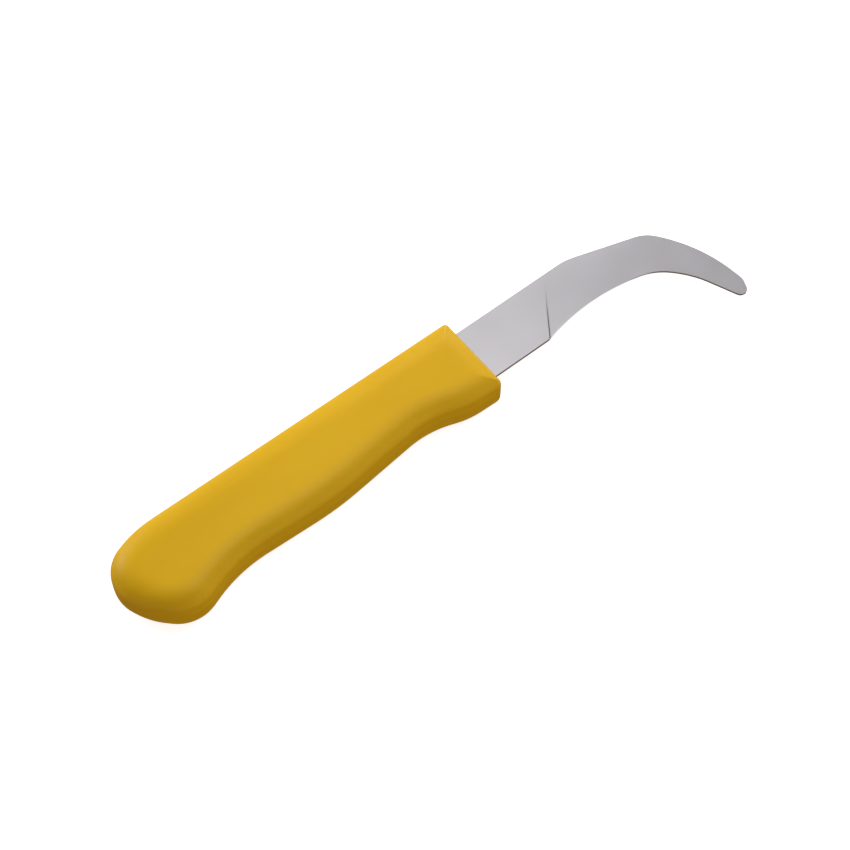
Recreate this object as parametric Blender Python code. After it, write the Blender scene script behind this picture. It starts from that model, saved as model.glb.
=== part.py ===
"""Hoof knife: a hooked steel blade whose tang is locked inside a moulded plastic handle.

The knife lies on its side. +X runs from the butt to the blade, +Y from the cutting edge to the spine
and +Z up through the thickness. The origin is under the middle of its box, on the surface it lies on.
The outlines are drawn from a datum on the blade's middle plane, where the lower edge of the blade
leaves the mouth of the handle. An empty then carries both pieces to their place.

It comes apart into two pieces. The blade is one stamping: the hooked part that shows, and a tang with
three holes that doesn't. The handle is one moulding: plastic pillars pass through the tang's holes.
"""

import math

import bmesh
import bpy
from mathutils import Matrix, Vector

# Driving dimensions, in metres.
FIT_GAP = 0.0003

BLADE_THICKNESS = 0.0010
BLADE_WIDTH = 0.0180
EDGE_THICKNESS = 0.0003
GRIND_SHARE = 0.80
GRIND_RUN_OUT = 0.0008

TANG_LENGTH = 0.0960
TANG_WIDTH = 0.0110
TANG_RISE = 0.0035
TANG_END_RADIUS = 0.0048
SHOULDER_DEPTH = 0.0080
SHOULDER_SLOPE = 0.0020
SHOULDER_RADIUS = 0.0015
TANG_HOLE_RADIUS = 0.0025
TANG_HOLES = (-0.0250, -0.0520, -0.0790)

HANDLE_THICKNESS = 0.0150
SPINE_ROUNDING = 0.0060
BUTT_ROUNDING = 0.0052
BELLY_ROUNDING = 0.0046
MOUTH_ROUNDING = 0.0050
SHARPEST_CORNER = 0.0005

# How finely curves are divided, and the angle from which a fold shades as an edge.
CURVE_STEP = 0.0025
ARC_STEP = math.radians(12)
ROUNDING_STEPS = 6
HOLE_SIDES = 32
BLADE_STATIONS = 36
POINT_CROWDING = 1.6
EDGE_ANGLE = math.radians(40)

# Outlines are corners, each with the radius that rounds it. A radius of 0 leaves a plain end.
# The handle's outline runs from the top of the mouth, round the butt, to the bottom of the mouth.
# Its third value is how far the rim is rounded along the side that follows the corner.
HANDLE_OUTLINE = (
    ((0.0, 0.0214), 0.0018, SPINE_ROUNDING),
    ((-0.1070, 0.0222), 0.0330, SPINE_ROUNDING),
    ((-0.1248, 0.0164), 0.0111, BUTT_ROUNDING),
    ((-0.1179, 0.0006), 0.0215, BELLY_ROUNDING),
    ((-0.1083, -0.0091), 0.0121, BELLY_ROUNDING),
    ((-0.0902, -0.0025), 0.0450, BELLY_ROUNDING),
    ((-0.0579, -0.0040), 0.1000, BELLY_ROUNDING),
    ((-0.0234, -0.0003), 0.0310, BELLY_ROUNDING),
    ((-0.0115, -0.0045), 0.0270, BELLY_ROUNDING),
    ((0.0, -0.0049), 0.0018, MOUTH_ROUNDING),
)
# The ground part of the blade: its back, from the plunge line to the flat at its point.
BACK = (
    ((0.0340, BLADE_WIDTH), 0.0),
    ((0.0423, BLADE_WIDTH), 0.0178),
    ((0.0671, 0.0104), 0.0105),
    ((0.0768, -0.0033), 0.0460),
    ((0.0786, -0.0192), 0.0038),
    ((0.0770, -0.0232), 0.0018),
    ((0.0757, -0.0232), 0.0),
)
# Its cutting edge, from the heel of the grind to the same flat.
EDGE = (
    ((0.0212, 0.0), 0.0),
    ((0.0385, 0.0044), 0.0660),
    ((0.0603, -0.0008), 0.0165),
    ((0.0680, -0.0083), 0.0300),
    ((0.0743, -0.0232), 0.0018),
    ((0.0755, -0.0232), 0.0),
)


def clear_scene():
    """Removes the startup scene's objects."""
    for old in list(bpy.data.objects):
        bpy.data.objects.remove(old)


def collection(name):
    """A new collection in the scene."""
    made = bpy.data.collections.new(name)
    bpy.context.scene.collection.children.link(made)
    return made


def material(name, color, roughness, metallic):
    """A plain Principled material."""
    made = bpy.data.materials.new(name)
    made.use_nodes = True
    shader = made.node_tree.nodes["Principled BSDF"]
    shader.inputs["Base Color"].default_value = (*color, 1.0)
    shader.inputs["Roughness"].default_value = roughness
    shader.inputs["Metallic"].default_value = metallic
    return made


def turn_at(corner, last, following):
    """How far the path turns at a corner: positive to the left."""
    return (following - corner).angle_signed(corner - last)


def arc_steps(turn, radius):
    """How many steps an arc is divided into."""
    return math.ceil(max(abs(turn) / ARC_STEP, abs(turn) * radius / CURVE_STEP))


def arc(corner, last, following, radius, steps):
    """Points of the arc that rounds a corner between the corners before and after it."""
    turn = turn_at(corner, last, following)
    to_last = (last - corner).normalized()
    to_next = (following - corner).normalized()
    centre = corner + (to_last + to_next).normalized() * radius / math.cos(turn / 2)
    spoke = corner + to_last * radius * math.tan(abs(turn) / 2) - centre
    return [centre + Matrix.Rotation(turn * step / steps, 2) @ spoke for step in range(steps + 1)]


def rounded(outline):
    """Points along an outline, with its corners rounded."""
    points = []
    for index, (place, radius) in enumerate(outline):
        corner = Vector(place)
        if radius == 0:
            points.append(corner)
            continue
        last = Vector(outline[index - 1][0])
        following = Vector(outline[(index + 1) % len(outline)][0])
        steps = arc_steps(turn_at(corner, last, following), radius)
        points.extend(arc(corner, last, following, radius, steps))
    return points


def path_length(points):
    """How long a path is."""
    return sum((there - here).length for here, there in zip(points, points[1:]))


def point_along(points, distance):
    """The point at a distance along a path."""
    for here, there in zip(points, points[1:]):
        run = (there - here).length
        if distance <= run:
            return here.lerp(there, distance / run)
        distance -= run
    return points[-1]


def add_object(name, mesh, group, carrier, look=None):
    """An object made from a bmesh, carried to its place by an empty."""
    data = bpy.data.meshes.new(name)
    mesh.to_mesh(data)
    mesh.free()
    made = bpy.data.objects.new(name, data)
    made.parent = carrier
    group.objects.link(made)
    if look:
        data.materials.append(look)
    return made


def slab(points, thickness):
    """A flat outline raised to a slab, centred on the middle plane."""
    mesh = bmesh.new()
    corners = [mesh.verts.new((point.x, point.y, -thickness / 2)) for point in points]
    floor = mesh.faces.new(corners)
    raised = bmesh.ops.extrude_face_region(mesh, geom=[floor], use_keep_orig=True)
    moved = [item for item in raised["geom"] if isinstance(item, bmesh.types.BMVert)]
    bmesh.ops.translate(mesh, verts=moved, vec=(0, 0, thickness))
    bmesh.ops.recalc_face_normals(mesh, faces=mesh.faces)
    return mesh


def pins(radius, length):
    """Three upright pins on the centres of the tang's holes."""
    mesh = bmesh.new()
    for place in TANG_HOLES:
        bmesh.ops.create_cone(
            mesh,
            cap_ends=True,
            segments=HOLE_SIDES,
            radius1=radius,
            radius2=radius,
            depth=length,
            matrix=Matrix.Translation((place, TANG_RISE + TANG_WIDTH / 2, 0)),
        )
    return mesh


def cut(target, cutter):
    """Takes one object out of another, and marks the cutter as a guide."""
    modifier = target.modifiers.new(cutter.name, "BOOLEAN")
    modifier.operation = "DIFFERENCE"
    modifier.solver = "EXACT"
    modifier.object = cutter
    cutter.hide_render = True
    cutter.display_type = "WIRE"


def tang_sides(margin=0.0):
    """The tang's upper and lower sides, from its end to the mouth, with a margin all round."""
    sides = []
    middle = TANG_RISE + TANG_WIDTH / 2
    for blade_side, tang_side in ((BLADE_WIDTH, TANG_RISE + TANG_WIDTH), (0.0, TANG_RISE)):
        outwards = math.copysign(margin, tang_side - middle)
        sides.append(rounded((
            ((-TANG_LENGTH - margin, middle), 0.0),
            ((-TANG_LENGTH - margin, tang_side + outwards), TANG_END_RADIUS + margin),
            ((-SHOULDER_DEPTH - SHOULDER_SLOPE - margin, tang_side + outwards), SHOULDER_RADIUS - margin),
            ((-SHOULDER_DEPTH - margin, blade_side + outwards), SHOULDER_RADIUS + margin),
            ((0.0, blade_side + outwards), 0.0),
        ))[1:])
    return sides


def drawn_in_corners(share):
    """The handle's corners and their radii, with each side drawn in by a share of its rounding."""
    corners = []
    radii = []
    for index, (place, radius, rounding) in enumerate(HANDLE_OUTLINE):
        last_place, _, last_rounding = HANDLE_OUTLINE[index - 1]
        next_place = HANDLE_OUTLINE[(index + 1) % len(HANDLE_OUTLINE)][0]
        arriving = (Vector(place) - Vector(last_place)).normalized()
        leaving = (Vector(next_place) - Vector(place)).normalized()
        across = arriving.cross(leaving)
        corners.append(Vector(place) + (leaving * last_rounding - arriving * rounding) * share / across)
        drawn_in = math.copysign(share * (rounding + last_rounding) / 2, across)
        radii.append(max(radius - drawn_in, SHARPEST_CORNER))
    return corners, radii


def handle_ring(mesh, side, angle):
    """One ring round the handle's rim: at angle 0 it is the wall, at a right angle the flat."""
    corners, radii = drawn_in_corners(1 - math.cos(angle))
    count = len(corners)
    places = []
    for index, (_, nominal_radius, rounding) in enumerate(HANDLE_OUTLINE):
        last_rounding = HANDLE_OUTLINE[index - 1][2]
        neighbours = (corners[index - 1], corners[(index + 1) % count])
        steps = arc_steps(turn_at(corners[index], *neighbours), nominal_radius)
        for step, point in enumerate(arc(corners[index], *neighbours, radii[index], steps)):
            rounding_here = last_rounding + (rounding - last_rounding) * step / steps
            height = HANDLE_THICKNESS / 2 - rounding_here * (1 - math.sin(angle))
            places.append((point.x, point.y, side * height))
    return [mesh.verts.new(place) for place in places]


def build_handle(parts, cutters, carrier, look):
    """The moulding: a slab with a rounded rim, moulded round the tang and through its holes."""
    mesh = bmesh.new()
    angles = [math.pi / 2 * step / ROUNDING_STEPS for step in range(ROUNDING_STEPS + 1)]
    rings = [handle_ring(mesh, -1, angle) for angle in reversed(angles)]
    rings += [handle_ring(mesh, 1, angle) for angle in angles]
    loft(mesh, rings)
    handle = add_object("handle", mesh, parts, carrier, look)

    upper, lower = tang_sides(FIT_GAP)
    past_mouth = [Vector((FIT_GAP, side[-1].y)) for side in (upper, lower)]
    slot_outline = upper + past_mouth + lower[::-1]
    slot = add_object("slot", slab(slot_outline, BLADE_THICKNESS + 2 * FIT_GAP), cutters, carrier)
    pillars = pins(TANG_HOLE_RADIUS - FIT_GAP, HANDLE_THICKNESS)
    cut(slot, add_object("pillars", pillars, cutters, carrier))
    cut(handle, slot)
    handle.data.shade_smooth()
    handle.data.set_sharp_from_angle(angle=EDGE_ANGLE)


def section(mesh, back, edge, ground):
    """One ring across the blade: back, grind line and edge on the upper face, then the lower."""
    half_back = BLADE_THICKNESS / 2
    half_edge = EDGE_THICKNESS / 2 if ground else half_back
    grind_line = edge.lerp(back, GRIND_SHARE)
    upper = ((back, half_back), (grind_line, half_back), (edge, half_edge))
    places = [(place.x, place.y, height) for place, height in upper]
    places += [(place.x, place.y, -height) for place, height in reversed(upper)]
    return [mesh.verts.new(place) for place in places]


def loft(mesh, rings):
    """Skins a row of rings and closes both ends."""
    for ring, following in zip(rings, rings[1:]):
        for index in range(len(ring)):
            before = index - 1
            mesh.faces.new((ring[before], ring[index], following[index], following[before]))
    mesh.faces.new(reversed(rings[0]))
    mesh.faces.new(rings[-1])


def build_blade(parts, cutters, carrier, look):
    """The stamping: a flat tang and heel, then a hook ground on both faces down to its edge."""
    mesh = bmesh.new()
    rings = [section(mesh, back, edge, ground=False) for back, edge in zip(*tang_sides())]
    back_path = rounded(BACK)
    edge_path = rounded(EDGE)
    rings.append(section(mesh, back_path[0], edge_path[0], ground=False))
    for station in range(BLADE_STATIONS + 1):
        share = 1 - (1 - station / BLADE_STATIONS) ** POINT_CROWDING
        places = []
        for path in (back_path, edge_path):
            run = path_length(path) - GRIND_RUN_OUT
            places.append(point_along(path, GRIND_RUN_OUT + run * share))
        rings.append(section(mesh, *places, ground=True))
    loft(mesh, rings)
    blade = add_object("blade", mesh, parts, carrier, look)
    holes = pins(TANG_HOLE_RADIUS, HANDLE_THICKNESS)
    cut(blade, add_object("tang_holes", holes, cutters, carrier))


def place_on_surface(carrier):
    """Brings the datum to where the knife's box has its lowest middle at the origin."""
    blade = rounded(BACK) + rounded(EDGE)
    handle = rounded([(place, radius) for place, radius, _ in HANDLE_OUTLINE])
    for axis in range(2):
        spread = [point[axis] for point in handle + blade]
        carrier.location[axis] = -(min(spread) + max(spread)) / 2
    carrier.location.z = HANDLE_THICKNESS / 2


def main():
    """Builds the knife."""
    clear_scene()
    parts = collection("hoof_knife")
    cutters = collection("cutters")
    carrier = bpy.data.objects.new("datum", None)
    parts.objects.link(carrier)
    place_on_surface(carrier)
    yellow = material("yellow_plastic", (0.71, 0.43, 0.03), 0.42, 0.0)
    steel = material("ground_steel", (0.60, 0.58, 0.60), 0.32, 1.0)
    build_handle(parts, cutters, carrier, yellow)
    build_blade(parts, cutters, carrier, steel)


main()
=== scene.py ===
"""Looks of the hoof knife: a ground steel hook held in a moulded yellow plastic handle.

The knife lies on its side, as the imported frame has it: +X runs from the butt to the blade, +Y from the
cutting edge to the spine and +Z up through the thickness. Outlines are drawn from a datum on the
blade's middle plane, where the lower edge of the blade leaves the mouth of the handle.
"""

import logging
import math
from collections.abc import Iterable, Sequence
from dataclasses import dataclass
from enum import Enum
from typing import Any

import bmesh
import bpy
from mathutils import Matrix, Vector


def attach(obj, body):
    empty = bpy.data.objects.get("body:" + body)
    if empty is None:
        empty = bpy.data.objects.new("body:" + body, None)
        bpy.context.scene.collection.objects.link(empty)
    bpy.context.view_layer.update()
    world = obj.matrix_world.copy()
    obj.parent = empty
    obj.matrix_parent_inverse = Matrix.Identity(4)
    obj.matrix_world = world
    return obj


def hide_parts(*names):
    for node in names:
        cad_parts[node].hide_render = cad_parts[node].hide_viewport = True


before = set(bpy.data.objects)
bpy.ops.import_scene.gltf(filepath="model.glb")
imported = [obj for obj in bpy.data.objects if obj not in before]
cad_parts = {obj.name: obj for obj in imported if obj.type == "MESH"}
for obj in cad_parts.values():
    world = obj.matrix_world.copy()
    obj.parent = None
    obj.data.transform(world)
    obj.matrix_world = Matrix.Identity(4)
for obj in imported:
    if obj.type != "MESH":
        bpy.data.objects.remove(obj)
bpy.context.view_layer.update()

Color = tuple[float, float, float, float]
Path = list[Vector]
Rings = list[list[Vector]]

log = logging.getLogger("hoof_knife")


class Slot(Enum):
    """The record's material slots."""

    PLASTIC = "yellow_plastic"
    STEEL = "ground_steel"


class Side(Enum):
    """The two faces of the knife, and which way each one looks."""

    LOWER = -1
    UPPER = 1


@dataclass(frozen=True)
class Corner:
    """A corner of an outline, rounded by a radius; a radius of 0 leaves a plain end.

    The rounding is how far the rim is rounded along the side that follows the corner.
    """

    x: float
    y: float
    radius: float = 0.0
    rounding: float = 0.0

    @property
    def place(self) -> Vector:
        """Where the corner is."""
        return Vector((self.x, self.y))


# ---------------------------------------------------------------- outlines


ARC_STEP = math.radians(6)
CURVE_STEP = 0.0012
PIN_SIDES = 48


def arc_steps(turn: float, radius: float) -> int:
    """Chooses how finely an arc is divided.

    Args:
        turn: How far the path turns at the corner, in radians.
        radius: The arc's radius.

    Returns:
        The number of steps.
    """
    return math.ceil(max(abs(turn) / ARC_STEP, abs(turn) * radius / CURVE_STEP))


def turn_at(corner: Vector, last: Vector, following: Vector) -> float:
    """Measures how far a path turns at a corner.

    Args:
        corner: The corner.
        last: The corner before it.
        following: The corner after it.

    Returns:
        The angle, positive to the left.
    """
    return (following - corner).angle_signed(corner - last)


def arc(corner: Vector, last: Vector, following: Vector, radius: float, steps: int) -> Path:
    """Rounds one corner of a path.

    Args:
        corner: The corner.
        last: The corner before it.
        following: The corner after it.
        radius: The radius that rounds it.
        steps: How many steps the arc is divided into.

    Returns:
        The points of the arc.
    """
    turn = turn_at(corner, last, following)
    to_last = (last - corner).normalized()
    to_next = (following - corner).normalized()
    centre = corner + (to_last + to_next).normalized() * radius / math.cos(turn / 2)
    spoke = corner + to_last * radius * math.tan(abs(turn) / 2) - centre
    return [centre + Matrix.Rotation(turn * step / steps, 2) @ spoke for step in range(steps + 1)]


def rounded(outline: Sequence[Corner]) -> Path:
    """Rounds the corners of an outline.

    Args:
        outline: Its corners in order.

    Returns:
        Points along it.
    """
    points: Path = []
    for index, corner in enumerate(outline):
        if corner.radius == 0:
            points.append(corner.place)
            continue
        last = outline[index - 1].place
        following = outline[(index + 1) % len(outline)].place
        steps = arc_steps(turn_at(corner.place, last, following), corner.radius)
        points.extend(arc(corner.place, last, following, corner.radius, steps))
    return points


def path_length(points: Path) -> float:
    """Measures a path."""
    return sum((there - here).length for here, there in zip(points, points[1:]))


def point_along(points: Path, distance: float) -> Vector:
    """Finds a point on a path.

    Args:
        points: The path.
        distance: How far along it the point is.

    Returns:
        The point.
    """
    for here, there in zip(points, points[1:]):
        run = (there - here).length
        if distance <= run:
            return here.lerp(there, distance / run)
        distance -= run
    return points[-1]


# ---------------------------------------------------------------- modelling


def deselect() -> None:
    """Leaves object mode and deselects every object."""
    if bpy.context.object and bpy.context.object.mode != "OBJECT":
        bpy.ops.object.mode_set(mode="OBJECT")
    bpy.ops.object.select_all(action="DESELECT")


def select_vertices(piece: bpy.types.Object, indices: Iterable[int]) -> None:
    """Selects vertices of the piece in edit mode, with the edges and faces between them.

    Args:
        piece: The piece, in edit mode.
        indices: The indices of its vertices.
    """
    mesh = bmesh.from_edit_mesh(piece.data)
    mesh.verts.ensure_lookup_table()
    bpy.ops.mesh.select_all(action="DESELECT")
    for index in indices:
        mesh.verts[index].select_set(True)
    mesh.select_flush(True)
    bmesh.update_edit_mesh(piece.data)


def skin(name: str, rings: Rings) -> bpy.types.Object:
    """Models a closed body from a row of rings: circles, put in shape, bridged and capped.

    Args:
        name: The piece's name.
        rings: Closed rings with the same number of points each.

    Returns:
        The piece.
    """
    deselect()
    count = len(rings[0])
    bpy.ops.mesh.primitive_circle_add(vertices=count, calc_uvs=False, location=rings[0][0])
    piece = bpy.context.active_object
    piece.name = piece.data.name = name
    bpy.ops.object.transform_apply(location=True)
    bpy.ops.object.mode_set(mode="EDIT")
    for ring in rings[1:]:
        bpy.ops.mesh.primitive_circle_add(vertices=count, calc_uvs=False, location=ring[0])
    bpy.ops.object.mode_set(mode="OBJECT")
    for vertex, place in zip(piece.data.vertices, (place for ring in rings for place in ring)):
        vertex.co = place
    bpy.ops.object.mode_set(mode="EDIT")
    bpy.ops.mesh.select_mode(type="VERT")
    for start in range(0, (len(rings) - 1) * count, count):
        select_vertices(piece, range(start, start + 2 * count))
        bpy.ops.mesh.bridge_edge_loops()
    for start in (0, (len(rings) - 1) * count):
        select_vertices(piece, range(start, start + count))
        bpy.ops.mesh.edge_face_add()
    bpy.ops.mesh.select_all(action="SELECT")
    mesh = bmesh.from_edit_mesh(piece.data)
    if mesh.calc_volume(signed=True) < 0:
        bpy.ops.mesh.flip_normals()
    bpy.ops.object.mode_set(mode="OBJECT")
    return piece


def carve(piece: bpy.types.Object, tool: bpy.types.Object) -> None:
    """Takes one body out of another, and removes the tool.

    Args:
        piece: The body that is cut.
        tool: The body that is taken out of it.
    """
    deselect()
    piece.select_set(True)
    bpy.context.view_layer.objects.active = piece
    modifier = piece.modifiers.new(tool.name, "BOOLEAN")
    modifier.operation = "DIFFERENCE"
    modifier.solver = "EXACT"
    modifier.object = tool
    bpy.ops.object.modifier_apply(modifier=modifier.name)
    bpy.data.objects.remove(tool)


def add_pin(name: str, place: Sequence[float], radius: float, length: float) -> bpy.types.Object:
    """Adds an upright round pin.

    Args:
        name: Its name.
        place: Its centre.
        radius: Its radius.
        length: Its length.

    Returns:
        The pin.
    """
    deselect()
    bpy.ops.mesh.primitive_cylinder_add(
        vertices=PIN_SIDES, radius=radius, depth=length, calc_uvs=False, location=place
    )
    pin = bpy.context.active_object
    pin.name = pin.data.name = name
    return pin


def settle(piece: bpy.types.Object, angle: float) -> None:
    """Smooths a piece except at its edges, and leaves it at the origin, unturned and unscaled.

    Args:
        piece: The piece.
        angle: The angle from which a fold stays an edge.
    """
    deselect()
    piece.select_set(True)
    bpy.context.view_layer.objects.active = piece
    bpy.ops.object.transform_apply(location=True, rotation=True, scale=True)
    bpy.ops.object.shade_smooth_by_angle(angle=angle)


# ---------------------------------------------------------------- finishes


@dataclass(frozen=True)
class Signal:
    """One output of a node. Python's operators on it add Math nodes."""

    graph: "Graph"
    socket: bpy.types.NodeSocket

    def __add__(self, other: "Signal | float") -> "Signal":
        """Adds."""
        return self.graph.math("ADD", self, other)

    def __radd__(self, other: float) -> "Signal":
        """Adds to a number."""
        return self.graph.math("ADD", other, self)

    def __sub__(self, other: "Signal | float") -> "Signal":
        """Subtracts."""
        return self.graph.math("SUBTRACT", self, other)

    def __rsub__(self, other: float) -> "Signal":
        """Subtracts from a number."""
        return self.graph.math("SUBTRACT", other, self)

    def __mul__(self, other: "Signal | float") -> "Signal":
        """Multiplies."""
        return self.graph.math("MULTIPLY", self, other)

    def __rmul__(self, other: float) -> "Signal":
        """Multiplies a number."""
        return self.graph.math("MULTIPLY", other, self)


class Graph:
    """The nodes of a material or of the world."""

    def __init__(self, owner: bpy.types.Material | bpy.types.World) -> None:
        """Starts with no nodes.

        Args:
            owner: The material or the world.
        """
        owner.use_nodes = True
        self.owner = owner
        self.tree = owner.node_tree
        self.tree.nodes.clear()

    def node(
        self,
        kind: str,
        settings: dict[str, Any],
        values: dict[str | int, Any],
        output: str | int | None = 0,
    ) -> "Signal | None":
        """Adds a node.

        Args:
            kind: The node's type.
            settings: Its own settings, which are set first.
            values: Values or links for its sockets.
            output: The output that is wanted, or None for a node that has none.

        Returns:
            That output.
        """
        made = self.tree.nodes.new(kind)
        for key, value in settings.items():
            setattr(made, key, value)
        for key, value in values.items():
            if isinstance(value, Signal):
                self.tree.links.new(value.socket, made.inputs[key])
            else:
                made.inputs[key].default_value = value
        return None if output is None else Signal(self, made.outputs[output])

    def math(self, operation: str, *values: Signal | float) -> Signal:
        """Adds a Math node.

        Args:
            operation: What it does.
            values: What it works on.

        Returns:
            Its result.
        """
        return self.node("ShaderNodeMath", {"operation": operation}, dict(enumerate(values)))

    def ramp(self, value: Signal, low: float, high: float) -> Signal:
        """Fades from 0 to 1 while a value rises.

        Args:
            value: The value.
            low: Where the fade starts.
            high: Where it ends.

        Returns:
            The fade.
        """
        limits = {"Value": value, "From Min": low, "From Max": high}
        return self.node("ShaderNodeMapRange", {"interpolation_type": "SMOOTHSTEP"}, limits)

    def stretch(self, place: Signal, scale: Sequence[float]) -> Signal:
        """Scales coordinates.

        Args:
            place: The coordinates.
            scale: How much along each axis.

        Returns:
            The scaled coordinates.
        """
        return self.node("ShaderNodeMapping", {}, {"Vector": place, "Scale": scale})

    def noise(self, place: Signal, scale: float, detail: float = 2.0) -> Signal:
        """Adds soft noise from 0 to 1.

        Args:
            place: The coordinates.
            scale: How many bumps there are in a metre.
            detail: How many finer layers it has.

        Returns:
            The noise.
        """
        return self.node("ShaderNodeTexNoise", {}, {"Vector": place, "Scale": scale, "Detail": detail})

    def blend(self, share: Signal, first: Signal | Color, second: Signal | Color) -> Signal:
        """Mixes two colours.

        Args:
            share: How much of the second.
            first: The first colour.
            second: The second colour.

        Returns:
            The mixed colour.
        """
        values = {0: share, 6: first, 7: second}
        return self.node("ShaderNodeMix", {"data_type": "RGBA"}, values, 2)

    def bump(self, height: Signal, distance: float) -> Signal:
        """Turns heights into a bumpy normal.

        Args:
            height: The heights, from 0 to 1.
            distance: How high 1 is, in metres.

        Returns:
            The normal.
        """
        return self.node("ShaderNodeBump", {}, {"Height": height, "Distance": distance})

    def finish(self, kind: str, surface: Signal) -> Any:
        """Makes a shader the surface.

        Args:
            kind: The type of the output node.
            surface: The shader.

        Returns:
            The material or the world.
        """
        self.node(kind, {}, {"Surface": surface}, None)
        return self.owner


@dataclass(frozen=True)
class MouldedPlastic:
    """Yellow injection-moulded plastic: satin, a little cloudy, with a faint orange peel."""

    color: Color = (0.755, 0.440, 0.006, 1.0)
    cloud: Color = (0.725, 0.412, 0.004, 1.0)
    roughness: float = 0.40
    roughness_spread: float = 0.10
    scuff_roughness: float = 0.04
    cloud_scale: float = 60.0
    peel_scale: float = 420.0
    peel_height: float = 0.00004
    grain_scale: float = 5200.0
    grain_height: float = 0.000006
    scuff_scale: float = 350.0

    def material(self) -> bpy.types.Material:
        """Makes the material."""
        graph = Graph(bpy.data.materials.new("moulded_yellow_plastic"))
        place = graph.node("ShaderNodeTexCoord", {}, {}, "Object")
        cloud = graph.noise(graph.stretch(place, (0.4, 1.0, 1.0)), self.cloud_scale)
        peel = graph.noise(place, self.peel_scale)
        grain = graph.noise(place, self.grain_scale)
        scuff = graph.ramp(graph.noise(place, self.scuff_scale, 4.0), 0.55, 0.75)
        heights = graph.bump(peel, self.peel_height)
        normal = graph.node(
            "ShaderNodeBump",
            {},
            {"Height": grain, "Distance": self.grain_height, "Normal": heights},
        )
        surface = graph.node(
            "ShaderNodeBsdfPrincipled",
            {},
            {
                "Base Color": graph.blend(graph.ramp(cloud, 0.3, 0.7), self.color, self.cloud),
                "Roughness": self.roughness
                + (grain - 0.5) * self.roughness_spread
                + scuff * self.scuff_roughness,
                "IOR": 1.50,
                "Specular IOR Level": 0.18,
                "Subsurface Weight": 0.12,
                "Subsurface Radius": (1.0, 0.55, 0.1),
                "Subsurface Scale": 0.0015,
                "Normal": normal,
            },
        )
        return graph.finish("ShaderNodeOutputMaterial", surface)


@dataclass(frozen=True)
class GroundSteel:
    """Stainless sheet: rolled grain on the heel and tang, very faint grinding lines on the hook, and a
    painted shade line where the grind starts.
    """

    color: Color = (0.660, 0.637, 0.662, 1.0)
    dull: Color = (0.690, 0.668, 0.702, 1.0)
    # painted shade: the near-black colour of the dark line at the plunge, standing in for the shade on
    # the grind's step
    painted_plunge_shade: Color = (0.190, 0.195, 0.200, 1.0)
    heel_roughness: float = 0.34
    hook_roughness: float = 0.33
    roughness_spread: float = 0.08
    cloud_roughness: float = 0.06
    rolled_scale: float = 5200.0
    ground_scale: float = 1100.0
    cloud_scale: float = 90.0
    line_height: float = 0.000004
    ground_share: float = 0.10
    hook_start: float = 0.004

    def material(self) -> bpy.types.Material:
        """Makes the material."""
        graph = Graph(bpy.data.materials.new("ground_stainless_steel"))
        place = graph.node("ShaderNodeTexCoord", {}, {}, "Object")
        along = graph.node("ShaderNodeTexCoord", {}, {}, "UV")
        station = graph.node("ShaderNodeSeparateXYZ", {}, {"Vector": along}, "X")
        hook = graph.ramp(station, 0.0, self.hook_start)
        rolled = graph.noise(graph.stretch(place, (0.03, 1.0, 1.0)), self.rolled_scale, 3.0)
        ground = graph.noise(graph.stretch(along, (1.0, 0.02, 1.0)), self.ground_scale, 2.0)
        lines = rolled * (1.0 - hook) + ground * hook * self.ground_share
        across = graph.node("ShaderNodeSeparateXYZ", {}, {"Vector": along}, "Y")
        # painted shade along the plunge: a narrow band just past the start of the grind, darker towards
        # the cutting edge
        rise = graph.ramp(station, -0.0002, 0.0001)
        step = rise * (1.0 - graph.ramp(station, 0.0003, 0.0008))
        painted_plunge_shade = step * graph.ramp(across, 0.004, 0.017)
        cloud = graph.noise(place, self.cloud_scale, 3.0)
        base = graph.blend(hook * 0.6 + cloud * 0.4, self.color, self.dull)
        surface = graph.node(
            "ShaderNodeBsdfPrincipled",
            {},
            {
                # the painted plunge shade is mixed over the steel's own colour here
                "Base Color": graph.blend(painted_plunge_shade, base, self.painted_plunge_shade),
                "Metallic": 1.0,
                "Roughness": self.heel_roughness
                + hook * (self.hook_roughness - self.heel_roughness)
                + (rolled - 0.5) * self.roughness_spread
                + (cloud - 0.5) * self.cloud_roughness,
                "Normal": graph.bump(lines, self.line_height),
            },
        )
        return graph.finish("ShaderNodeOutputMaterial", surface)


@dataclass(frozen=True)
class PaleFloor:
    """A white table with a glow of its own."""

    color: Color = (0.62, 0.62, 0.62, 1.0)
    cloud: Color = (0.60, 0.60, 0.60, 1.0)
    glow: float = 0.82

    def material(self) -> bpy.types.Material:
        """Makes the material."""
        graph = Graph(bpy.data.materials.new("white_table"))
        place = graph.node("ShaderNodeTexCoord", {}, {}, "Object")
        shade = graph.blend(graph.noise(place, 3.0), self.color, self.cloud)
        surface = graph.node(
            "ShaderNodeBsdfPrincipled",
            {},
            {
                "Base Color": shade,
                "Roughness": 0.9,
                "Specular IOR Level": 0.1,
                "Emission Color": (1.0, 1.0, 1.0, 1.0),
                "Emission Strength": self.glow,
            },
        )
        return graph.finish("ShaderNodeOutputMaterial", surface)


# ---------------------------------------------------------------- the knife


@dataclass(frozen=True)
class Datum:
    """Where the outlines are measured from."""

    x: float
    y: float
    z: float

    def lift(self, point: Vector, height: float) -> Vector:
        """Puts a point of an outline in its place in the frame.

        Args:
            point: The point.
            height: How high above the middle plane.

        Returns:
            The place.
        """
        return Vector((self.x + point.x, self.y + point.y, self.z + height))


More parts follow.
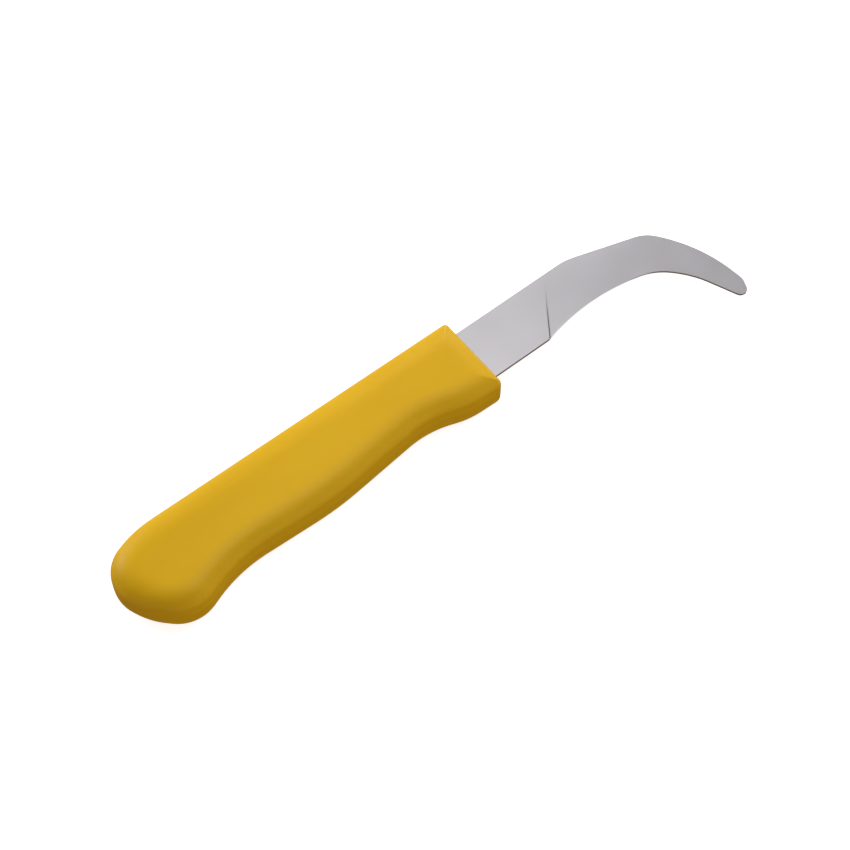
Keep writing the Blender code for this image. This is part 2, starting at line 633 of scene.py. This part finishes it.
@dataclass
class Blade:
    """The blade: a hook ground on both faces, a flat heel and a tang with three holes.

    The plunge is where the grind starts: pairs of how many run-outs along and how deep.
    """

    datum: Datum
    thickness: float = 0.0010
    width: float = 0.0180
    deburr: float = 0.00004
    grind_share: float = 0.80
    run_out: float = 0.0004
    ground_edge: float = 0.00016
    bevel_width: float = 0.00045
    bevel_edge: float = 0.00008
    blunt_share: float = 0.60
    blunt_from: float = 0.45
    blunt_to: float = 0.62
    plunge: tuple[tuple[float, float], ...] = ((0.0, 0.0), (0.45, 0.62), (1.0, 1.0), (1.6, 1.0))
    stations: int = 110
    crowding: float = 1.4
    tang_mark: float = -0.05
    pin_length: float = 0.01
    fold: float = math.radians(12)
    tang_length: float = 0.0960
    tang_width: float = 0.0110
    tang_rise: float = 0.0035
    tang_end_radius: float = 0.0048
    shoulder_depth: float = 0.0080
    shoulder_slope: float = 0.0020
    shoulder_radius: float = 0.0015
    hole_radius: float = 0.0025
    holes: tuple[float, ...] = (-0.0250, -0.0520, -0.0790)
    back: tuple[Corner, ...] = (
        Corner(0.0340, 0.0180),
        Corner(0.0423, 0.0180, 0.0178),
        Corner(0.0671, 0.0104, 0.0105),
        Corner(0.0768, -0.0033, 0.0460),
        Corner(0.0786, -0.0192, 0.0038),
        Corner(0.0770, -0.0232, 0.0018),
        Corner(0.0757, -0.0232),
    )
    edge: tuple[Corner, ...] = (
        Corner(0.0212, 0.0),
        Corner(0.0385, 0.0044, 0.0660),
        Corner(0.0603, -0.0008, 0.0165),
        Corner(0.0680, -0.0083, 0.0300),
        Corner(0.0743, -0.0232, 0.0018),
        Corner(0.0755, -0.0232),
    )

    def tang_sides(self, margin: float = 0.0) -> tuple[Path, Path]:
        """Draws the tang's upper and lower sides, from its end to the mouth.

        Args:
            margin: How far outside the tang they are drawn.

        Returns:
            The two sides, with as many points each.
        """
        middle = self.tang_rise + self.tang_width / 2
        sides = []
        for blade_side, way in ((self.width, 1), (0.0, -1)):
            tang_side = middle + way * (self.tang_width / 2 + margin)
            shoulder = -self.shoulder_depth - margin
            outline = (
                Corner(-self.tang_length - margin, middle),
                Corner(-self.tang_length - margin, tang_side, self.tang_end_radius + margin),
                Corner(shoulder - self.shoulder_slope, tang_side, self.shoulder_radius - margin),
                Corner(shoulder, blade_side + way * margin, self.shoulder_radius + margin),
                Corner(0.0, blade_side + way * margin),
            )
            sides.append(rounded(outline)[1:])
        return sides[0], sides[1]

    def depth_at(self, share: float) -> float:
        """Tells how deep the grind is, which is less on the inside of the hook.

        Args:
            share: How far along the grind, from 0 to 1.

        Returns:
            The depth, from 0 to 1.
        """
        hooked = (share - self.blunt_from) / (self.blunt_to - self.blunt_from)
        return 1 - self.blunt_share * min(max(hooked, 0.0), 1.0)

    def section(self, back: Vector, edge: Vector, depth: float) -> list[Vector]:
        """Draws one ring across the blade: its upper face from back to edge, then its lower.

        Args:
            back: The ring's point on the blade's back.
            edge: The ring's point on its cutting edge.
            depth: How much of the grind's full depth is reached, from 0 to 1.

        Returns:
            The ring, in its place.
        """
        span = (edge - back).length
        half = self.thickness / 2
        grind = span * (1 - self.grind_share)
        deburr = min(self.deburr, grind / 2)
        bevel_width = min(self.bevel_width, (span - grind) / 2)
        keen = max(2 * depth - 1, 0.0)
        at_bevel = half + (self.ground_edge - half) * depth
        at_edge = at_bevel - deburr + (self.bevel_edge - self.ground_edge + deburr) * keen
        bevel = span - deburr - (bevel_width - deburr) * keen
        profile = (
            (0.0, half - deburr),
            (deburr * 0.3, half - deburr * 0.3),
            (deburr, half),
            (grind * 0.5, half),
            (grind, half),
            (grind + 0.3 * (bevel - grind), half + 0.3 * (at_bevel - half)),
            (grind + 0.7 * (bevel - grind), half + 0.7 * (at_bevel - half)),
            (bevel, at_bevel),
            (span, at_edge),
        )
        across = (edge - back).normalized()
        upper = [(back + across * run, height) for run, height in profile]
        ring = [self.datum.lift(point, height) for point, height in upper]
        ring += [self.datum.lift(point, -height) for point, height in reversed(upper)]
        return ring

    def rows(self) -> tuple[Rings, list[float]]:
        """Draws all the rings, from the end of the tang to the point.

        Returns:
            The rings, and how far past the start of the grind each one is.
        """
        rings = [self.section(back, edge, 0.0) for back, edge in zip(*self.tang_sides())]
        marks = [self.tang_mark] * len(rings)
        back_path, edge_path = rounded(self.back), rounded(self.edge)
        length = (path_length(back_path) + path_length(edge_path)) / 2
        before = [path[0] - Vector((self.run_out, 0.0)) for path in (back_path, edge_path)]
        rings.append(self.section(before[0], before[1], 0.0))
        marks.append(-self.run_out)
        for run, depth in self.plunge:
            points = [point_along(path, run * self.run_out) for path in (back_path, edge_path)]
            rings.append(self.section(points[0], points[1], depth))
            marks.append(run * self.run_out)
        start = self.plunge[-1][0] * self.run_out
        for station in range(1, self.stations + 1):
            share = 1 - (1 - station / self.stations) ** self.crowding
            points = []
            for path in (back_path, edge_path):
                points.append(point_along(path, start + (path_length(path) - start) * share))
            rings.append(self.section(points[0], points[1], self.depth_at(share)))
            marks.append(start + (length - start) * share)
        return rings, marks

    def lay_out(self, piece: bpy.types.Object, rings: Rings, marks: list[float]) -> None:
        """Gives the blade a map that runs along it and across it, in metres.

        Args:
            piece: The blade, with its vertices in the order of the rings.
            rings: The rings it was made from.
            marks: How far past the start of the grind each ring is.
        """
        count = len(rings[0])
        layer = piece.data.uv_layers.new(name="along_and_across")
        for loop in piece.data.loops:
            ring, spot = divmod(loop.vertex_index, count)
            across = (rings[ring][spot] - rings[ring][0]).to_2d().length
            layer.data[loop.index].uv = (marks[ring], across)

    def build(self, finish: GroundSteel) -> bpy.types.Object:
        """Models and dresses the blade.

        Args:
            finish: Its finish.

        Returns:
            The blade.
        """
        rings, marks = self.rows()
        piece = skin("blade_sheet", rings)
        self.lay_out(piece, rings, marks)
        for index, hole in enumerate(self.holes):
            middle = Vector((hole, self.tang_rise + self.tang_width / 2))
            place = self.datum.lift(middle, 0.0)
            carve(piece, add_pin(f"hole_{index}", place, self.hole_radius, self.pin_length))
        settle(piece, self.fold)
        piece.data.materials.append(finish.material())
        return piece


@dataclass
class Handle:
    """The handle: one moulding with a rounded rim, closed round the tang and through its holes."""

    datum: Datum
    blade: Blade
    thickness: float = 0.0150
    rim_steps: int = 14
    softness: float = 0.35
    seam_width: float = 0.00020
    seam_height: float = 0.00001
    fit_gap: float = 0.00005
    sharpest_corner: float = 0.0005
    seam_rounding: float = 0.005
    mouth_margin: float = 0.001
    flat_inset: float = 0.0003
    fold: float = math.radians(40)
    outline: tuple[Corner, ...] = (
        Corner(0.0, 0.0214, 0.0018, 0.0060),
        Corner(-0.1070, 0.0222, 0.0330, 0.0060),
        Corner(-0.1248, 0.0164, 0.0111, 0.0052),
        Corner(-0.1179, 0.0006, 0.0215, 0.0046),
        Corner(-0.1083, -0.0091, 0.0115, 0.0046),
        Corner(-0.0902, -0.0025, 0.0450, 0.0046),
        Corner(-0.0579, -0.0040, 0.1000, 0.0046),
        Corner(-0.0234, -0.0003, 0.0310, 0.0046),
        Corner(-0.0115, -0.0045, 0.0260, 0.0046),
        Corner(0.0, -0.0049, 0.0018, 0.0050),
    )

    def drawn_in(self, share: float) -> list[Corner]:
        """Draws each side of the outline in by a share of its rounding.

        Args:
            share: The share.

        Returns:
            The corners of the smaller outline.
        """
        made = []
        for index, corner in enumerate(self.outline):
            last = self.outline[index - 1]
            following = self.outline[(index + 1) % len(self.outline)]
            arriving = (corner.place - last.place).normalized()
            leaving = (following.place - corner.place).normalized()
            across = arriving.cross(leaving)
            moved = (leaving * last.rounding - arriving * corner.rounding) * share / across
            place = corner.place + moved
            drawn = math.copysign(share * (corner.rounding + last.rounding) / 2, across)
            radius = max(corner.radius - drawn, self.sharpest_corner)
            made.append(Corner(place.x, place.y, radius, corner.rounding))
        return made

    def ring(self, share: float, side: Side, rise: float) -> list[Vector]:
        """Draws one ring round the handle.

        Args:
            share: How much of its rounding each side is drawn in by.
            side: Which half of the handle the ring is on.
            rise: How far up its rounding the ring is, from 0 at the wall to 1 at the flat.

        Returns:
            The ring, in its place.
        """
        corners = self.drawn_in(share)
        places = []
        for index, corner in enumerate(self.outline):
            last, following = index - 1, (index + 1) % len(corners)
            centre = corners[index].place
            around = (corners[last].place, corners[following].place)
            steps = arc_steps(turn_at(centre, *around), corner.radius)
            for step, point in enumerate(arc(centre, *around, corners[index].radius, steps)):
                nearer = self.outline[last].rounding
                rounding = nearer + (corner.rounding - nearer) * step / steps
                height = self.thickness / 2 - rounding * (1 - rise)
                places.append(self.datum.lift(point, side.value * height))
        return places

    def seam(self, height: float, proud: float) -> list[Vector]:
        """Draws one ring of the mould's parting line.

        Args:
            height: How high above the middle plane.
            proud: How far it stands out from the wall.

        Returns:
            The ring, in its place.
        """
        ring = self.ring(-proud / self.seam_rounding, Side.UPPER, 0.0)
        for place in ring:
            place.z = self.datum.z + height
        return ring

    def rows(self) -> Rings:
        """Draws all the rings, from the lower flat over the parting line to the upper flat."""
        angles = [math.pi / 2 * step / self.rim_steps for step in range(self.rim_steps + 1)]
        steps = []
        for angle in angles:
            rise = math.sin(angle)
            steps.append(((1 - math.cos(angle)) * (1 + self.softness * rise**2), rise))
        rings = [self.ring(share, Side.LOWER, rise) for share, rise in reversed(steps)]
        half = self.seam_width / 2
        rings += [self.seam(-2 * half, 0.0), self.seam(-half, self.seam_height)]
        rings += [self.seam(half, self.seam_height), self.seam(2 * half, 0.0)]
        rings += [self.ring(share, Side.UPPER, rise) for share, rise in steps]
        return rings

    def cavity(self) -> bpy.types.Object:
        """Models the space that the tang fills, open at the mouth."""
        upper, lower = self.blade.tang_sides(self.fit_gap)
        upper.append(Vector((self.mouth_margin, upper[-1].y)))
        lower.append(Vector((self.mouth_margin, lower[-1].y)))
        half = self.blade.thickness / 2 + self.fit_gap
        rings = []
        for high, low in zip(upper, lower):
            corners = ((high, -half), (high, half), (low, half), (low, -half))
            rings.append([self.datum.lift(point, height) for point, height in corners])
        cavity = skin("cavity", rings)
        middle = self.blade.tang_rise + self.blade.tang_width / 2
        for index, hole in enumerate(self.blade.holes):
            place = self.datum.lift(Vector((hole, middle)), 0.0)
            radius = self.blade.hole_radius - self.fit_gap
            carve(cavity, add_pin(f"pillar_{index}", place, radius, self.thickness))
        return cavity

    def build(self, finish: MouldedPlastic) -> bpy.types.Object:
        """Models and dresses the handle.

        Args:
            finish: Its finish.

        Returns:
            The handle.
        """
        piece = skin("handle_moulding", self.rows())
        bpy.ops.object.mode_set(mode="EDIT")
        bpy.ops.mesh.select_mode(type="FACE")
        bpy.ops.mesh.select_all(action="DESELECT")
        mesh = bmesh.from_edit_mesh(piece.data)
        for face in mesh.faces:
            face.select_set(len(face.verts) > 4)
        bmesh.update_edit_mesh(piece.data)
        bpy.ops.mesh.inset(thickness=self.flat_inset)
        bpy.ops.object.mode_set(mode="OBJECT")
        carve(piece, self.cavity())
        settle(piece, self.fold)
        piece.data.materials.append(finish.material())
        return piece


# ---------------------------------------------------------------- the studio


def way_out(azimuth: float, elevation: float) -> Vector:
    """Finds the direction from the knife to a lamp or the camera.

    Args:
        azimuth: Degrees round from the front.
        elevation: Degrees up from the table.

    Returns:
        The direction, one metre long.
    """
    azimuth, elevation = math.radians(azimuth), math.radians(elevation)
    level = Vector((math.sin(azimuth), -math.cos(azimuth), 0.0)) * math.cos(elevation)
    return level + Vector((0.0, 0.0, math.sin(elevation)))


@dataclass(frozen=True)
class Lamp:
    """A soft light: where it stands, how big it is and how strongly it shines."""

    name: str
    azimuth: float
    elevation: float
    distance: float
    size: float
    power: float
    target: Vector | None = None

    def build(self, target: Vector) -> None:
        """Sets the light up.

        Args:
            target: What it points at, unless it has a target of its own.
        """
        target = self.target or target
        away = way_out(self.azimuth, self.elevation)
        data = bpy.data.lights.new(self.name, "AREA")
        data.shape = "DISK"
        data.size = self.size
        data.energy = self.power
        lamp = bpy.data.objects.new(self.name, data)
        lamp.location = target + away * self.distance
        lamp.rotation_mode = "QUATERNION"
        lamp.rotation_quaternion = (-away).to_track_quat("-Z", "Y")
        bpy.context.scene.collection.objects.link(lamp)


@dataclass
class Studio:
    """The table, the lights and the camera."""

    target: Vector
    azimuth: float = -38.6
    elevation: float = 60.0
    distance: float = 0.5598
    lens: float = 85.0
    sensor: float = 36.0
    table_size: float = 40.0
    table_cells: int = 8
    daylight: float = 0.22
    table_light: float = 1.05
    table_color: Color = (1.0, 0.80, 0.46, 1.0)
    glow_depth: float = -0.75
    shade: float = 0.10
    lamps: tuple[Lamp, ...] = (
        Lamp("front_right", 21.4, 22.0, 0.8, 0.80, 0.80),
        Lamp("right", 81.4, 40.0, 0.8, 0.45, 1.05),
        Lamp("back", 141.4, 22.0, 0.8, 0.45, 2.50),
        Lamp("back_left", 201.4, 22.0, 0.8, 0.45, 2.50),
        Lamp("over_mouth", 0.0, 90.0, 0.3, 0.2, 0.225, Vector((0.02, 0.01, 0.0075))),
        Lamp("over_blade", 141.4, 60.0, 0.3, 0.2, 0.036, Vector((0.01, 0.01, 0.0075))),
    )

    def add_table(self, finish: PaleFloor) -> bpy.types.Object:
        """Adds the table that the knife lies on.

        Args:
            finish: Its finish.

        Returns:
            The table.
        """
        deselect()
        cells = self.table_cells
        bpy.ops.mesh.primitive_grid_add(
            x_subdivisions=cells, y_subdivisions=cells, size=self.table_size
        )
        table = bpy.context.active_object
        table.name = table.data.name = "table"
        table.data.materials.append(finish.material())
        table.visible_diffuse = table.visible_glossy = False
        return table

    def add_camera(self) -> None:
        """Adds the camera."""
        away = way_out(self.azimuth, self.elevation)
        data = bpy.data.cameras.new("camera")
        data.lens = self.lens
        data.sensor_width = self.sensor
        data.clip_start, data.clip_end = 0.01, 50.0
        camera = bpy.data.objects.new("camera", data)
        camera.location = self.target + away * self.distance
        camera.rotation_mode = "QUATERNION"
        camera.rotation_quaternion = (-away).to_track_quat("-Z", "Y")
        bpy.context.scene.collection.objects.link(camera)
        bpy.context.scene.camera = camera

    def add_daylight(self) -> None:
        """Adds even light from all round, and the light that a pale table throws back up."""
        graph = Graph(bpy.data.worlds.new("daylight"))
        way = graph.node("ShaderNodeTexCoord", {}, {}, "Generated")
        height = graph.node("ShaderNodeSeparateXYZ", {}, {"Vector": way}, "Z")
        sky = graph.ramp(height, -0.1, 0.1)
        glow = graph.ramp(height, self.glow_depth, -0.15)
        table = glow * self.table_light + self.shade
        values = {
            "Color": graph.blend(sky, self.table_color, (1.0, 1.0, 1.0, 1.0)),
            "Strength": sky * self.daylight + (1.0 - sky) * table,
        }
        surface = graph.node("ShaderNodeBackground", {}, values)
        world = graph.finish("ShaderNodeOutputWorld", surface)
        bpy.context.scene.world = world

    def build(self, finish: PaleFloor) -> None:
        """Sets everything up.

        Args:
            finish: The table's finish.
        """
        self.add_table(finish)
        self.add_daylight()
        for lamp in self.lamps:
            lamp.build(self.target)
        self.add_camera()
        bpy.context.scene.view_settings.view_transform = "Standard"


def main() -> None:
    """Builds the knife round the frame and lights it."""
    logging.basicConfig(level=logging.INFO, format="%(message)s")
    datum = Datum(0.02116088, 0.00052007, 0.0075)
    blade = Blade(datum)
    handle = Handle(datum, blade)
    for made, slot, node in (
        (blade.build(GroundSteel()), Slot.STEEL, "blade"),
        (handle.build(MouldedPlastic()), Slot.PLASTIC, "handle"),
    ):
        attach(made, "root")
        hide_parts(node)
        log.info("%s stands for %s: %d faces", made.name, node, len(made.data.polygons))
    Studio(datum.lift(Vector((-0.02423, 0.00020)), 0.0)).build(PaleFloor())


if __name__ == "__main__":
    main()
